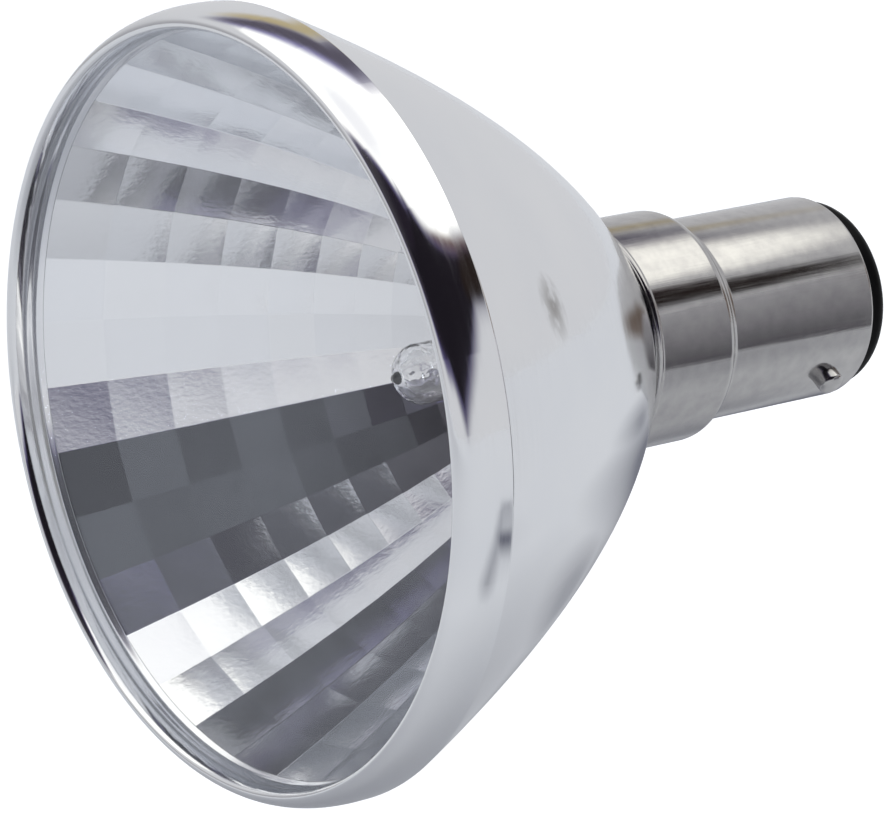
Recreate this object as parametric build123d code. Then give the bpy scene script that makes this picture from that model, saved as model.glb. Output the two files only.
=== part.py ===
from build123d import *
import os
from math import asin, asinh, cos, sin, sqrt

# Halogen reflector bulb: an open facetted aluminium bowl, a quartz capsule and a bayonet cap.
#
# The bulb is drawn standing on its own axis: z runs from the rim to the end contacts, z = 0 is the
# line through the side pins, x is that pin line and y is the line through the end contacts.
# At the end it is laid down, so that the beam points to -Y, the cap to +Y, and +Z is up.

# Bowl, in millimetres
rim_diameter = 56.5
roll_width = 1.2
lip_width = 0.45
crown_height = 1.0
band_width = 0.85
bowl_depth = 32.3
bowl_wall = 1.6
facet_setback = 1.7
facet_margin = 1.15
facets_per_ring = 34
facet_rings = 12
facet_roll = 7.3
facet_floor = 0.3
neck_bore = 13.0
neck_engagement = 4.4

# Cap shell
shell_diameter = 15.2
shell_length = 13.3
collar_step = 1.05
collar_length = 6.65
shoulder_length = 1.8
lip_height = 0.12
lip_length = 0.5
cap_wall = 0.4
shell_edge = 0.3
vertex_inset = 0.65
pin_to_shell_end = 3.4
cap_roll = 36.0

# Side pins
pin_diameter = 2.0
pin_proud = 1.05
pin_head_diameter = 2.8
pin_head_thickness = 0.5
pin_round = 0.35

# Black glass end and its contacts
insulator_depth = 1.7
insulator_rise = 2.0
insulator_round = 1.3
contact_spacing = 6.6
contact_diameter = 3.2
contact_thickness = 0.35
contact_shank = 1.9
contact_hole = 0.9
solder_diameter = 2.5
solder_height = 0.55

# Quartz capsule
tip_setback = 14.1
tip_diameter = 1.1
tip_length = 0.6
capsule_diameter = 4.4
quartz_wall = 0.6
tube_behind_coil = 0.7
pinch_shoulder = 2.2
pinch_width = 5.6
pinch_thickness = 2.0
pinch_length = 9.0

# Filament, leads and sealing foils
coil_diameter = 1.1
coil_length = 4.0
coil_turns = 8.5
coil_wire = 0.26
inner_wire = 0.4
outer_wire = 0.6
hook_bend = 0.5
lead_bend = 2.5
foil_width = 1.5
foil_length = 5.0
foil_thickness = 0.06
foil_spacing = 2.7
foil_overlap = 1.2
pinch_cover = 1.0

# Ceramic cement
cement_recess = 0.5
cement_behind_pinch = 1.8
lead_straight = 1.5

# Clearances
neck_gap = 0.15
seat_gap = 0.05
cement_gap = 0.1
coil_gap = 0.05

# Radii and stations along the axis, worked out from the sizes above
rim_radius = rim_diameter / 2
crown_radius = rim_radius - roll_width
land_radius = crown_radius - lip_width
facet_radius = rim_radius - facet_margin
focal_length = facet_radius**2 / (4 * (bowl_depth - facet_setback))
bore_radius = neck_bore / 2
shell_radius = shell_diameter / 2
collar_radius = shell_radius + collar_step
shell_bore = shell_radius - cap_wall
collar_bore = collar_radius - cap_wall
neck_radius = collar_bore - neck_gap
contact_y = contact_spacing / 2
foil_y = foil_spacing / 2
capsule_radius = capsule_diameter / 2
capsule_bore = capsule_radius - quartz_wall
coil_radius = coil_diameter / 2

shell_end = pin_to_shell_end
shoulder_back = shell_end - shell_length
collar_back = shoulder_back - shoulder_length
collar_front = collar_back - collar_length
vertex_z = collar_front + vertex_inset
focus_z = vertex_z - focal_length
rim_z = vertex_z - bowl_depth
crown_z = rim_z - crown_height
facet_front = rim_z + facet_setback
neck_end = collar_front + neck_engagement
insulator_front = shell_end - insulator_depth
insulator_top = shell_end + insulator_rise
contact_top = insulator_top + contact_thickness
coil_front = focus_z - coil_length / 2
coil_back = focus_z + coil_length / 2
dome_z = rim_z + tip_setback + tip_length + capsule_radius
tube_end = coil_back + tube_behind_coil
pinch_front = tube_end + pinch_shoulder
pinch_back = pinch_front + pinch_length
foil_front = pinch_front + pinch_cover
foil_back = foil_front + foil_length
cement_back = pinch_back + cement_behind_pinch


def turned(*edges):
    """Solid turned about the lamp's axis from a closed outline of (radius, z) edges."""
    return revolve(Plane.XZ * make_face(edges), Axis.Z)


def rod(radius, z_low, z_high, x=0.0, y=0.0):
    """Straight round bar along the lamp's axis."""
    return extrude(Plane((x, y, z_low)) * Circle(radius), z_high - z_low)


def wire_along(path, diameter):
    """Round wire swept along a path."""
    return sweep(Plane(path @ 0, z_dir=path % 0) * Circle(diameter / 2), path)


def solve(rising, low, high, target):
    """Argument between low and high at which a rising function reaches the target."""
    for _ in range(60):
        middle = (low + high) / 2
        if rising(middle) < target:
            low = middle
        else:
            high = middle
    return (low + high) / 2


def mirror_z(radius):
    """Station of the mirror's paraboloid at a radius: the vertex less r squared over four focal lengths."""
    return vertex_z - radius**2 / (4 * focal_length)


def back_of_wall(radius):
    """Point one wall thickness behind the mirror, square to it, as (radius, z)."""
    slope = radius / (2 * focal_length)
    stretch = sqrt(1 + slope**2)
    return radius + bowl_wall * slope / stretch, mirror_z(radius) + bowl_wall / stretch


def facet_measure(radius):
    """Length along the mirror's curve counted in radii, so that equal steps give facets of one shape."""
    x = radius / (2 * focal_length)
    return sqrt(1 + x**2) - asinh(1 / x)


def facet_hollow():
    """Hollow of the bowl: flat facets between rings of regular polygons on the paraboloid."""
    start = facet_measure(facet_radius)
    last = bore_radius + facet_floor
    step = (start - facet_measure(last)) / facet_rings
    rings = []
    for ring in range(facet_rings + 1):
        radius = solve(facet_measure, last / 2, facet_radius * 2, start - ring * step)
        polygon = RegularPolygon(radius, facets_per_ring, rotation=facet_roll)
        rings.append(Plane((0, 0, mirror_z(radius))) * polygon)
    return loft(rings, ruled=True)


def make_reflector():
    """Pressed bowl with a rolled rim, a smooth parabolic back, a neck and the facetted hollow."""
    at_rim = solve(lambda r: back_of_wall(r)[0], 0, rim_radius, rim_radius)
    at_neck = solve(lambda r: back_of_wall(r)[0], 0, rim_radius, neck_radius)
    shares = (0, 0.2, 0.4, 0.6, 0.8, 1)
    back = [back_of_wall(at_rim + (at_neck - at_rim) * share) for share in shares]
    floor_z = mirror_z(bore_radius + facet_floor)
    roll_back = back[0][1] - band_width
    roll_length = roll_back - crown_z
    lip = EllipticalCenterArc((crown_radius, rim_z), lip_width, crown_height, 180, arc_size=90)
    roll = EllipticalCenterArc((crown_radius, roll_back), roll_width, roll_length, 270, arc_size=90)
    band = Line((rim_radius, roll_back), back[0])
    wall = Spline(*back)
    inside = Polyline(
        back[-1],
        (neck_radius, neck_end),
        (bore_radius, neck_end),
        (bore_radius, floor_z),
        (land_radius, facet_front),
        (land_radius, rim_z),
    )
    return turned(lip, roll, band, wall, *inside.edges()) - facet_hollow()


def cap_line(inset):
    """Outline of the cap from collar to shell end, moved inwards by the inset, as a list of edges."""
    bend = (shoulder_length**2 + collar_step**2) / (4 * collar_step)
    turn = asin(shoulder_length / 2 / bend)
    middle_radius = (collar_radius + shell_radius) / 2 - inset * cos(turn)
    middle_z = (collar_back + shoulder_back) / 2 - inset * sin(turn)
    start = (collar_radius - inset, collar_back)
    finish = (shell_radius - inset, shoulder_back)
    middle = (middle_radius, middle_z)
    return [
        Line((collar_radius - inset, collar_front), start),
        TangentArc(start, middle, tangent=(0, 1)),
        TangentArc(middle, finish, tangent=(-sin(turn), cos(turn))),
        Line(finish, (shell_radius - inset, shell_end)),
    ]


def make_cap_shell():
    """Drawn brass cap: lip, collar, shoulder and shell, with a hole for each side pin."""
    ends = [
        Line((collar_bore, collar_front), (collar_radius, collar_front)),
        Line((shell_bore, shell_end), (shell_radius, shell_end)),
    ]
    shell = turned(*cap_line(0), *cap_line(cap_wall), *ends)
    rims = shell.edges().filter_by(GeomType.CIRCLE)
    end_rim = rims.filter_by_position(Axis.Z, shell_end, shell_end).sort_by(SortBy.RADIUS)[-1]
    shell = fillet(end_rim, shell_edge)
    lip_crest = (collar_radius + lip_height, collar_front + lip_length / 2)
    lip_front = (collar_radius, collar_front)
    lip_back = (collar_radius, collar_front + lip_length)
    shell += turned(ThreePointArc(lip_front, lip_crest, lip_back), Line(lip_back, lip_front))
    hole = Plane.YZ * Circle(pin_diameter / 2 + seat_gap)
    return shell - extrude(hole, collar_radius, both=True)


def make_pin(side):
    """Riveted side pin: a head inside the shell and a round-nosed stub outside it."""
    head_radius = pin_head_diameter / 2
    head_seat = sqrt(shell_bore**2 - head_radius**2) - seat_gap
    seat = Plane.YZ.offset(head_seat)
    stub = extrude(seat * Circle(pin_diameter / 2), shell_radius + pin_proud - head_seat)
    stub = fillet(stub.edges().sort_by(Axis.X)[-1], pin_round)
    head = extrude(seat * Circle(head_radius), -pin_head_thickness)
    return Rot(Z=90 - 90 * side) * (stub + head)


def make_insulator():
    """Black glass plug with a rounded end and two holes for the contact shanks."""
    radius = shell_bore - seat_gap
    edge = (radius, insulator_top - insulator_round)
    top = (radius - insulator_round, insulator_top)
    outline = Polyline(top, (0, insulator_top), (0, insulator_front), (radius, insulator_front), edge)
    plug = turned(*outline.edges(), TangentArc(edge, top, tangent=(0, 1)))
    for side in (1, -1):
        plug -= rod(contact_shank / 2 + seat_gap, insulator_front, insulator_top, y=side * contact_y)
    return plug


def make_contact(side):
    """End contact: a round plate on the glass, its hollow shank and the hole for the wire."""
    y = side * contact_y
    plate = rod(contact_diameter / 2, insulator_top, contact_top, y=y)
    shank = rod(contact_shank / 2, insulator_front, insulator_top, y=y)
    return plate + shank - rod(contact_hole / 2, insulator_front, contact_top, y=y)


def make_solder(side):
    """Domed solder bead that closes a contact over its wire."""
    radius = solder_diameter / 2
    crown = contact_top + solder_height
    sphere = (radius**2 + solder_height**2) / (2 * solder_height)
    cap = Pos(0, 0, crown - sphere) * Sphere(sphere)
    bead = cap & rod(radius * 2, contact_top, crown)
    return Pos(0, side * contact_y, 0) * bead


def make_filament():
    """Tungsten coil on the axis, centred on the focus, with its two ends on opposite sides."""
    helix = Helix(coil_length / coil_turns, coil_length, coil_radius)
    section = Plane(helix @ 0, z_dir=helix % 0) * Circle(coil_wire / 2)
    coil = sweep(section, helix, is_frenet=True)
    return Pos(0, 0, coil_front) * Rot(Z=90) * coil


foil_x = -(outer_wire + foil_thickness) / 2
inner_x = foil_x + (foil_thickness + inner_wire) / 2
long_lead_y = capsule_bore - inner_wire / 2 - coil_gap * 2
short_lead_y = coil_radius + coil_wire / 2 + inner_wire / 2 + coil_gap
hook_z = coil_front - coil_wire / 2 - inner_wire / 2 - coil_gap
coil_lap = coil_length / coil_turns / 2


def make_inner_lead_short():
    """Straight wire from its foil to the last turn of the coil."""
    return rod(inner_wire / 2, coil_back - coil_lap, foil_front + foil_overlap, x=inner_x, y=-short_lead_y)


def make_inner_lead_long():
    """Wire from its foil along the coil, hooked inwards under the first turn."""
    path = FilletPolyline(
        (inner_x, long_lead_y, foil_front + foil_overlap),
        (inner_x, long_lead_y, hook_z),
        (inner_x, 0, hook_z),
        radius=hook_bend,
    )
    return wire_along(path, inner_wire)


def make_foil(side):
    """Sealing foil inside the pinch, with a lead welded to each end."""
    middle = (foil_x, side * foil_y, (foil_front + foil_back) / 2)
    return Pos(*middle) * Box(foil_thickness, foil_width, foil_length)


def make_outer_lead(side):
    """Wire from the back of a foil, out of the pinch and over to its end contact."""
    path = FilletPolyline(
        (0, side * foil_y, foil_back - foil_overlap),
        (0, side * foil_y, cement_back + lead_straight),
        (0, side * contact_y, insulator_front - lead_straight),
        (0, side * contact_y, contact_top),
        radius=lead_bend,
    )
    return wire_along(path, outer_wire)


def capsule_form():
    """Outside of the quartz capsule: exhaust tip, dome, tube, pressed shoulder and flat pinch."""
    tip_z = rim_z + tip_setback + tip_diameter / 2
    dome = Pos(0, 0, dome_z) * Sphere(capsule_radius)
    tip = Pos(0, 0, tip_z) * Sphere(tip_diameter / 2) + rod(tip_diameter / 2, tip_z, dome_z)
    tube = rod(capsule_radius, dome_z, tube_end)
    section = Plane((0, 0, pinch_front)) * Rot(Z=90) * SlotOverall(pinch_width, pinch_thickness)
    shoulder = loft([Plane((0, 0, tube_end)) * Circle(capsule_radius), section])
    return dome + tip + tube + shoulder + extrude(section, pinch_length)


def make_capsule(form, metal):
    """Quartz capsule: its form less the gas space, with foils and leads sealed in the pinch."""
    front = Pos(0, 0, dome_z) * Sphere(capsule_bore)
    back = Pos(0, 0, tube_end) * Sphere(capsule_bore)
    capsule = form - (front + rod(capsule_bore, dome_z, tube_end) + back)
    for piece in metal:
        capsule -= piece
    return capsule


def make_cement(form, leads):
    """Ceramic cement cast round the pinch, from the bottom of the bowl to the cap behind the neck."""
    front = mirror_z(bore_radius + facet_floor) + cement_recess
    behind_neck = neck_end + cement_gap
    plug_radius = bore_radius - cement_gap
    back_radius = shell_bore - cement_gap
    block = rod(plug_radius, front, behind_neck) + rod(back_radius, behind_neck, cement_back) - form
    for lead in leads:
        block -= lead
    return block


def make_parts():
    """All pieces of the bulb by name, on the lamp's own axis."""
    parts = {
        "reflector": make_reflector(),
        "cap_shell": make_cap_shell(),
        "insulator": make_insulator(),
        "filament": make_filament(),
        "inner_lead_short": make_inner_lead_short(),
        "inner_lead_long": make_inner_lead_long(),
    }
    for letter, side in (("a", 1), ("b", -1)):
        parts["bayonet_pin_" + letter] = make_pin(side)
        parts["contact_plate_" + letter] = make_contact(side)
        parts["solder_bead_" + letter] = make_solder(side)
        parts["foil_" + letter] = make_foil(side)
        parts["outer_lead_" + letter] = make_outer_lead(side)
    form = capsule_form()
    outer_leads = ["outer_lead_a", "outer_lead_b"]
    sealed_in = ["foil_a", "foil_b", "inner_lead_short", "inner_lead_long"] + outer_leads
    parts["capsule"] = make_capsule(form, [parts[name] for name in sealed_in])
    parts["cement"] = make_cement(form, [parts[name] for name in outer_leads])
    return parts


os.makedirs("parts", exist_ok=True)
laid_down = Rot(X=-90) * Rot(Z=cap_roll)
for name, piece in make_parts().items():
    export_step(laid_down * piece, "parts/" + name + ".step")
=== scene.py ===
# %% [markdown]
# A halogen reflector bulb.
# A bowl of bright aluminium, pressed into rings of flat facets, holds a small quartz capsule on
# its axis, and a nickel plated bayonet cap closes its back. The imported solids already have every
# piece at its real size. They are loaded first, as a fixed frame, and each surface made here goes
# where its solid is. The solids' coarse triangles would show in mirrors, so the pieces that shine
# are made again as fine surfaces from the same formulas, and the hidden ones keep their solids.

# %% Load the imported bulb
import bpy
import numpy as np
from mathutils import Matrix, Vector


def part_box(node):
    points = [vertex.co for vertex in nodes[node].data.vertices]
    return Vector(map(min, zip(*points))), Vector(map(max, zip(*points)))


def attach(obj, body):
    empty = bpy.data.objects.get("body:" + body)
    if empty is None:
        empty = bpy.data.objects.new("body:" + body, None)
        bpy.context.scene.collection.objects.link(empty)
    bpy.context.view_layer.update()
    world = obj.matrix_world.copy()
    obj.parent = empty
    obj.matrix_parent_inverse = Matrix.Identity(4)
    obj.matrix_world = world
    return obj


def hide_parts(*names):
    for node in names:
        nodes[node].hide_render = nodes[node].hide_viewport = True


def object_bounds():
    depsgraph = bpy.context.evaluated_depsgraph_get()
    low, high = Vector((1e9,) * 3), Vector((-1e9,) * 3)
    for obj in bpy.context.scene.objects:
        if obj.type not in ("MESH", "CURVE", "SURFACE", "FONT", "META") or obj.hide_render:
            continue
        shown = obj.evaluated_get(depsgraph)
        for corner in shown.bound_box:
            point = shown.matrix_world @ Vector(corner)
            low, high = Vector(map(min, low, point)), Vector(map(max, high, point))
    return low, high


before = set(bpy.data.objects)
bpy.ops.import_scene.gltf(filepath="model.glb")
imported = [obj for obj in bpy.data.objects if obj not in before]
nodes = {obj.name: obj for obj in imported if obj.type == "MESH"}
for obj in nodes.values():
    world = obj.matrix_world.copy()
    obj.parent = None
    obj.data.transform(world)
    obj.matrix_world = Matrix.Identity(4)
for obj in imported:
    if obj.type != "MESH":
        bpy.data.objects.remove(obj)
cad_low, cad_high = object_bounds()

mm = 0.001
print(len(nodes), "solids, box in mm:", [round(side / mm, 1) for side in cad_high - cad_low])

# %% [markdown]
# The bowl.
# It is one sheet of aluminium, pressed over a facetted punch: smooth outside, rows of flat mirrors
# inside and a rolled bead round the mouth. Its mirrors could be cut one by one, but a formula
# places all of them at once and lets their number be changed. The lamp's axis is the Y axis: the
# beam leaves along -Y and the cap points along +Y. The sizes start from the boxes of the solids,
# and the focal length follows from the paraboloid's depth at the edge of the facets.

# %% The bowl's main sizes
bowl_low, bowl_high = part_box("reflector")
cap_low, cap_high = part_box("cap_shell")
rim_radius = bowl_high.z
crown_height = 1.0 * mm
rim_y = bowl_low.y + crown_height
cap_overlap = 0.65 * mm
vertex_y = cap_low.y + cap_overlap
facet_margin = 1.15 * mm
facet_setback = 1.7 * mm
facet_radius = rim_radius - facet_margin
focal_length = facet_radius**2 / (4 * (vertex_y - rim_y - facet_setback))
print("focal length in mm:", round(focal_length / mm, 3))

# %% [markdown]
# The outside of the bowl.
# A pressed sheet is about equally thick everywhere, so its outside lies one wall behind the
# paraboloid, measured square to the surface. A Solidify modifier does this too, but it would carry
# the facets through to the outside, which is smooth on the real bowl. So the wall has its own
# formula, and a flat neck and the bore for the capsule end it.

# %% The paraboloid and the wall behind it
bowl_wall = 1.6 * mm


def mirror_y(radius):
    """Place of the paraboloid at a radius: the vertex less radius squared over four focal lengths."""
    return vertex_y - radius**2 / (4 * focal_length)


def wall_profile(radius):
    """Points one wall thickness behind the paraboloid, square to its slope of radius over two
    focal lengths, as (radius, y)."""
    slope = radius / (2 * focal_length)
    stretch = np.sqrt(1 + slope**2)
    back = mirror_y(radius) + bowl_wall / stretch
    return np.stack([radius + bowl_wall * slope / stretch, back], axis=1)


print("depth of the mirror in mm:", round((vertex_y - mirror_y(facet_radius)) / mm, 2))

# %% The outside as a chain of points
bore_radius = 6.5 * mm
floor_margin = 0.3 * mm
floor_radius = bore_radius + floor_margin
neck_radius = 8.1 * mm
band_width = 0.85 * mm
trial_steps = 2000
trial = np.linspace(0, facet_radius, trial_steps)
at_rim, at_neck = np.interp([rim_radius, neck_radius], wall_profile(trial)[:, 0], trial)
wall = wall_profile(np.linspace(at_rim, at_neck, 100))
roll_back = wall[0, 1] - band_width
bore_front = mirror_y(floor_radius)
neck = [[neck_radius, bowl_high.y], [bore_radius, bowl_high.y], [bore_radius, bore_front]]
outside = np.vstack([[[rim_radius, roll_back]], wall, neck])
print("the outside has", len(outside), "points")

# %% [markdown]
# The mouth of the bowl.
# The edge of the sheet is rolled over into a bead. Inside it a narrow lip leads to the land, a
# short cylinder with turned grooves and a chamfer beside the facets. A Bevel modifier could round
# a sharp edge, but the bead reaches further along the axis than across it. So the bead and the lip
# are quarter ellipses, and the square of a sine wave makes the grooves.

# %% The lip and the bead
roll_width = 1.2 * mm
lip_width = 0.45 * mm
crown_radius = rim_radius - roll_width


def arc(centre, reach, start, stop, count):
    """Points of an arc in the (radius, y) plane: the centre plus the reach times (cosine, sine), at
    angles in degrees from the radius axis. The reach is a circle's radius, or the two half lengths
    of an ellipse."""
    angle = np.radians(np.linspace(start, stop, count))
    return np.asarray(centre) + np.stack([np.cos(angle), np.sin(angle)], axis=1) * reach


lip = arc((crown_radius, rim_y), (lip_width, crown_height), 180, 270, 13)
roll = arc((crown_radius, roll_back), (roll_width, roll_back - bowl_low.y), 270, 360, 41)
print("bead in mm:", round(roll_width / mm, 2), "across,", round((roll_back - bowl_low.y) / mm, 2), "along")

# %% The grooved land
groove_count = 2
groove_depth = 0.06 * mm
chamfer_depth = 0.2 * mm
chamfer_share = 0.26
land_radius = crown_radius - lip_width
land_share = np.linspace(0, 1, 49)
groove = groove_depth * np.sin(np.pi * groove_count * land_share) ** 2
chamfer = chamfer_depth * np.clip(1 - land_share / chamfer_share, 0, 1)
land_y = rim_y + facet_setback * (1 - land_share)
land = np.stack([land_radius + groove - chamfer, land_y], axis=1)
mouth = np.vstack([land, lip[1:], roll[1:]])
print("the mouth has", len(mouth), "points")

# %% [markdown]
# Crisp corners.
# Smooth shading would blur the corners of these profiles, so two points are added a hair's breadth
# beside each corner: the shading then turns only between those, as light does on an edge that was
# broken by hand. A Bevel modifier would do this too, but it can't tell a corner of the profile
# from a step of the curve.

# %% Profiles with crisp corners
edge_strip = 0.06 * mm
crease_strip = 0.08 * mm
sharp_turn = np.radians(20)
strips_in_run = 4
tiny = 1e-12


def crisp(profile, strip):
    """Profile with a point added a strip's length before and after every corner that turns by more
    than sharp_turn, on runs longer than strips_in_run strips. The two ends count as corners."""
    start, run = profile[:-1], np.diff(profile, axis=0)
    length = np.linalg.norm(run, axis=1, keepdims=True)
    ahead = run / np.maximum(length, tiny)
    turns = np.sum(ahead[:-1] * ahead[1:], axis=1) < np.cos(sharp_turn)
    corner = np.concatenate([[True], turns, [True]])
    long_run = length[:, 0] > strips_in_run * strip
    points = np.stack([start, start + strip * ahead, start + run - strip * ahead], axis=1)
    always = np.full(len(run), True)
    keep = np.stack([always, corner[:-1] & long_run, corner[1:] & long_run], axis=1)
    return np.vstack([points[keep], profile[-1:]])


crisp_outside = crisp(outside, crease_strip)
crisp_mouth = crisp(mouth, edge_strip)[:-1]
print("points with the strips:", len(crisp_outside), "outside,", len(crisp_mouth), "in the mouth")

# %% [markdown]
# The facets.
# Each ring of facets lies between two regular polygons on the paraboloid, and the rings are spaced
# so that every facet has the same shape. A facet comes off the punch very slightly crowned, which
# stretches what it mirrors, so each one gets a bump of about a hundredth of a millimetre. Single
# flat quads could be shaded flat instead, but they would mirror as hard as cut glass.

# %% Where the rings of facets lie
facets_round = 34
facet_rings = 12
fine_steps = 4000


def ring_radii():
    """Radii of the polygons: equal steps of the paraboloid's length counted in radii, which is
    root(1 + x squared) - arsinh(1 / x) with x = radius over two focal lengths."""
    radius = np.linspace(floor_radius, facet_radius, fine_steps)
    x = radius / (2 * focal_length)
    measure = np.sqrt(1 + x**2) - np.arcsinh(1 / x)
    return np.interp(np.linspace(measure[0], measure[-1], facet_rings + 1), measure, radius)


corner_radii = ring_radii()
print("corner radii in mm:", np.round(corner_radii / mm, 1))

# %% Where the columns lie on a facet
facet_start = np.radians(9.64)
sector = 2 * np.pi / facets_round
columns_in_facet = np.array([0, 0.015, 0.15, 0.325, 0.5, 0.675, 0.85, 0.985])
facet_numbers = np.arange(facets_round)
bowl_angles = facet_start + (sector * (facet_numbers[:, None] + columns_in_facet)).ravel()


def across_facet(angles):
    """Share of the way across the facet, heading of the facet's middle, and the polygon's radius
    over its corner radius: cosine(half a sector) over cosine(angle from the middle)."""
    sectors = (angles - facet_start) / sector
    across = sectors - np.floor(sectors)
    middle = facet_start + (np.floor(sectors) + 0.5) * sector
    return across, middle, np.cos(sector / 2) / np.cos((across - 0.5) * sector)


print("flat of a facet against its corner:", round(across_facet(bowl_angles)[2].min(), 4))

# %% The facets as rows of points
facet_crown = 0.012 * mm
rows_in_facet = np.array([0, 0.015, 0.25, 0.5, 0.75, 0.985])


def facet_rows(angles, steps):
    """Facetted hollow from the floor to the last polygon. Between two polygons the rows are
    straight, and each facet is crowned by a bump that is zero on its edges: four times share times
    (1 - share), both ways, along the facet's own normal."""
    across, middle, flat = across_facet(angles)
    ring = np.repeat(np.arange(facet_rings), len(steps))
    share = np.tile(steps, facet_rings)
    inner, outer = corner_radii[ring], corner_radii[ring + 1]
    rise = (outer - inner) * np.cos(sector / 2)
    drop = mirror_y(inner) - mirror_y(outer)
    length = np.hypot(rise, drop)
    bump = 16 * facet_crown * (share * (1 - share))[:, None] * (across * (1 - across))
    inwards = -bump * (drop / length)[:, None]
    forwards = -bump * (rise / length)[:, None]
    radius = (inner + (outer - inner) * share)[:, None] * flat
    x = radius * np.cos(angles) + inwards * np.cos(middle)
    y = (mirror_y(inner) - drop * share)[:, None] + forwards
    z = radius * np.sin(angles) + inwards * np.sin(middle)
    return np.stack([x, y, z], axis=-1)


facets = facet_rows(bowl_angles, rows_in_facet)
print(facets_round * facet_rings, "facets in", len(facets), "rows of", len(bowl_angles), "points")

# %% [markdown]
# Turned forms.
# The rest of the bowl and most of the other pieces are turned forms: one profile carried round an
# axis. A Screw modifier turns a profile too, but rows of an array can also change from a polygon
# to a circle, as the bowl does where the facets meet the land. Each row is one point of the
# profile, and each column is one angle.

# %% The bowl's grid of points


def turn(profile, angles, stretch=1.0):
    """Surface of revolution about the Y axis: a profile point (radius, y) goes to (radius times
    cosine, y, radius times sine) at every angle. A stretch for each angle takes it out of round."""
    level = np.zeros_like(angles)
    radius = profile[:, :1] * (stretch + level)
    return np.stack([radius * np.cos(angles), profile[:, 1:] + level, radius * np.sin(angles)], axis=-1)


last_polygon = np.array([[corner_radii[-1], mirror_y(corner_radii[-1])]])
bowl_points = np.vstack([
    turn(crisp_outside, bowl_angles),
    facets,
    turn(last_polygon, bowl_angles, across_facet(bowl_angles)[2]),
    turn(crisp_mouth, bowl_angles),
])
print("rows and columns of the bowl:", bowl_points.shape[:2])

# %% [markdown]
# From a grid to a mesh.
# Neighbouring points of a grid are joined by quads, and the columns always close on themselves.
# Bridge Edge Loops joins rows by hand, but a rule for the points' numbers does it for every piece.
# The rows of the bowl close too, from the outside over the neck, the facets and the mouth back to
# the outside, so the bowl is one sealed skin. A form that ends on its axis has a pole there, a row
# that is only one point, and the quads beside it are triangles.

# %% Faces between the points


def sheet_faces(points, rows_close, first_number):
    """Quads between neighbouring rows and columns, as numbers of points. The rows either close on
    themselves, or the first and the last one are poles."""
    rows, columns = points.shape[:2]
    number = np.arange(rows * columns).reshape(rows, columns) + first_number
    if rows_close:
        number = np.vstack([number, number[:1]])
    else:
        number[[0, -1]] = number[[0, -1], :1]
    beside = np.roll(number, -1, axis=1)
    return np.stack([number[:-1], number[1:], beside[1:], beside[:-1]], axis=-1).reshape(-1, 4)


print("quads of the bowl:", len(sheet_faces(bowl_points, True, 0)))

# %% A piece from its grids


def make_piece(name, *sheets, rows_close=False):
    """Mesh object from one or more grids. Columns that meet at a pole share one point there."""
    numbers = np.cumsum([0] + [points[..., 0].size for points in sheets])
    faces = [sheet_faces(points, rows_close, first) for points, first in zip(sheets, numbers)]
    used, faces = np.unique(np.concatenate(faces), return_inverse=True)
    faces = faces.reshape(-1, 4)
    corners = np.concatenate([points.reshape(-1, 3) for points in sheets])[used]
    first_pole = faces[:, 0] == faces[:, 3]
    last_pole = faces[:, 1] == faces[:, 2]
    quads = faces[~(first_pole | last_pole)]
    fans = np.concatenate([faces[first_pole][:, [0, 1, 2]], faces[last_pole][:, [0, 1, 3]]])
    mesh = bpy.data.meshes.new(name)
    mesh.from_pydata(corners.tolist(), [], quads.tolist() + fans.tolist())
    mesh.shade_smooth()
    piece = bpy.data.objects.new(name, mesh)
    bpy.context.scene.collection.objects.link(piece)
    print(name, "has", len(corners), "points and", len(mesh.polygons), "faces")
    return piece


bowl = make_piece("reflector_bowl", bowl_points, rows_close=True)

# %% The bowl takes the place of its solid


def seat(piece, slot, *solids):
    """The piece stands for these solids and rides on the bulb. The slot is not used."""
    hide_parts(*solids)
    print(piece.name, "stands for", *solids)
    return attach(piece, "root")


seat(bowl, "bowl_aluminium", "reflector")

# %% [markdown]
# The bayonet cap.
# It is drawn from one sheet of brass and plated with nickel: a small lip in front, a collar round
# the bowl's neck, a rounded shoulder and the shell. Two cylinders could be joined by a bevelled
# step, but a drawn shoulder is two bends that flow into each other. The profile is a chain of
# straight runs and arcs, with the inside of the sheet as its way back, and is turned once.

# %% The shoulder of the cap
shell_radius = 7.6 * mm
collar_radius = 8.65 * mm
collar_length = 6.65 * mm
shoulder_length = 1.8 * mm
collar_back = cap_low.y + collar_length
shoulder_back = collar_back + shoulder_length


def shoulder(inset, count):
    """Two arcs of one bend that lead from the collar down to the shell, moved inwards by inset. The
    bend is (length squared + drop squared) over four times the drop."""
    drop = collar_radius - shell_radius
    bend = (shoulder_length**2 + drop**2) / (4 * drop)
    turned = np.degrees(np.arcsin(shoulder_length / 2 / bend))
    outwards = arc((collar_radius - bend, collar_back), bend - inset, 0, turned, count)
    inwards = arc((shell_radius + bend, shoulder_back), bend + inset, 180 + turned, 180, count)
    return np.vstack([outwards, inwards[1:]])


print("the shoulder drops by", round(np.ptp(shoulder(0, 13)[:, 0]) / mm, 2), "mm")

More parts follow.
